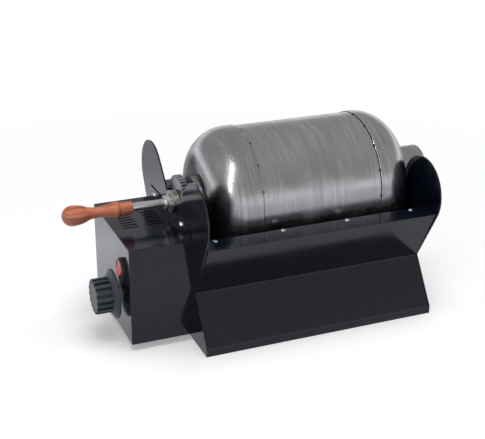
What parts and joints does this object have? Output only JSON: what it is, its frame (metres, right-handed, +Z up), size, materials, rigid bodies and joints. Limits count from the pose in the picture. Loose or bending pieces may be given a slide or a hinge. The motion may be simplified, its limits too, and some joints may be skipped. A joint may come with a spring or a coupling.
{
  "type": "drum coffee roaster",
  "caption": "Electric drum coffee roaster: brushed steel drum with open neck and wooden handle lies in a black folded steel stand with a control box.",
  "frame": {"origin": "on the floor, at the middle of the whole length and depth", "axes": "+X along the drum from the handle to the open neck, -Y towards the front, +Z up"},
  "size_m": [0.426, 0.222, 0.2141],
  "materials": {
    "black_gloss": "gloss black baked enamel on folded steel sheet",
    "drum_steel": "stainless steel, circumferential brushing",
    "turned_steel": "turned stainless steel",
    "zinc_screw": "bright plated screw",
    "wood": "reddish turned hardwood, satin oil",
    "knob_plastic": "black moulded phenolic",
    "cap_plastic": "dark grey satin cap",
    "bezel_plastic": "black nylon",
    "rocker_red": "translucent red, polished",
    "tray_steel": "aluminised reflector sheet",
    "heater_sheath": "dark oxidised heater sheath",
    "ceramic": "off-white ceramic",
    "brass": "machined brass",
    "gear_steel": "cut steel gear, lightly oiled",
    "bearing_bronze": "turned bearing metal",
    "motor_steel": "zinc plated motor case",
    "nylon": "black nylon",
    "terminal_white": "white nylon terminal block"
  },
  "bodies": {
    "root": {"left_end_plate": "black_gloss", "right_end_plate": "black_gloss", "front_panel": "black_gloss", "rear_panel": "black_gloss", "reflector_tray": "tray_steel", "front_rim_screws": "zinc_screw", "rear_rim_screws": "zinc_screw", "flange_screws": "zinc_screw", "front_heater": "heater_sheath", "rear_heater": "heater_sheath", "heater_insulators": "ceramic", "heater_support": "tray_steel", "thermostat_bulb": "brass", "bulb_grommet": "ceramic", "bulb_clip": "tray_steel", "box_cover": "black_gloss", "box_base": "black_gloss", "switch_bezel": "bezel_plastic", "thermostat": "motor_steel", "thermostat_nut": "zinc_screw", "gear_case": "motor_steel", "motor_can": "motor_steel", "motor_screws": "zinc_screw", "terminal_block": "terminal_white", "cable_gland": "nylon"},
    "drum": {"drum_shell": "drum_steel", "left_dome": "drum_steel", "right_dome": "drum_steel", "neck_tube": "drum_steel", "mixing_vanes": "drum_steel", "drum_hub": "turned_steel", "spindle": "turned_steel", "spindle_nut": "zinc_screw", "drive_gear": "gear_steel", "spindle_washer": "turned_steel", "spindle_collar": "turned_steel", "wooden_grip": "wood"},
    "bearing": {"bearing_bush": "bearing_bronze"},
    "pinion": {"drive_pinion": "gear_steel", "motor_shaft": "turned_steel"},
    "rocker": {"rocker": "rocker_red"},
    "knob": {"knob": "knob_plastic", "knob_cap": "cap_plastic", "knob_shaft": "brass"}
  },
  "joints": [
    {"name": "drum_lift", "type": "slide", "parent": "root", "child": "bearing", "axis": [0, 0, 1], "range_m": [0, 0.13]},
    {"name": "drum_spin", "type": "hinge", "parent": "bearing", "child": "drum", "pos_m": [-0.091, 0, 0.139], "axis": [1, 0, 0], "continuous": true},
    {"name": "pinion_spin", "type": "hinge", "parent": "root", "child": "pinion", "pos_m": [-0.091, 0, 0.1015], "axis": [1, 0, 0], "continuous": true},
    {"name": "knob_turn", "type": "hinge", "parent": "root", "child": "knob", "pos_m": [-0.16, -0.021, 0.051], "axis": [1, 0, 0], "range_deg": [0, 300]},
    {"name": "rocker_press", "type": "hinge", "parent": "root", "child": "rocker", "pos_m": [-0.16, -0.036, 0.087], "axis": [0, -1, 0], "range_deg": [0, 16]}
  ],
  "couplings": [
    {"joint": "pinion_spin", "follows": "drum_spin", "ratio": -2.5714}
  ]
}
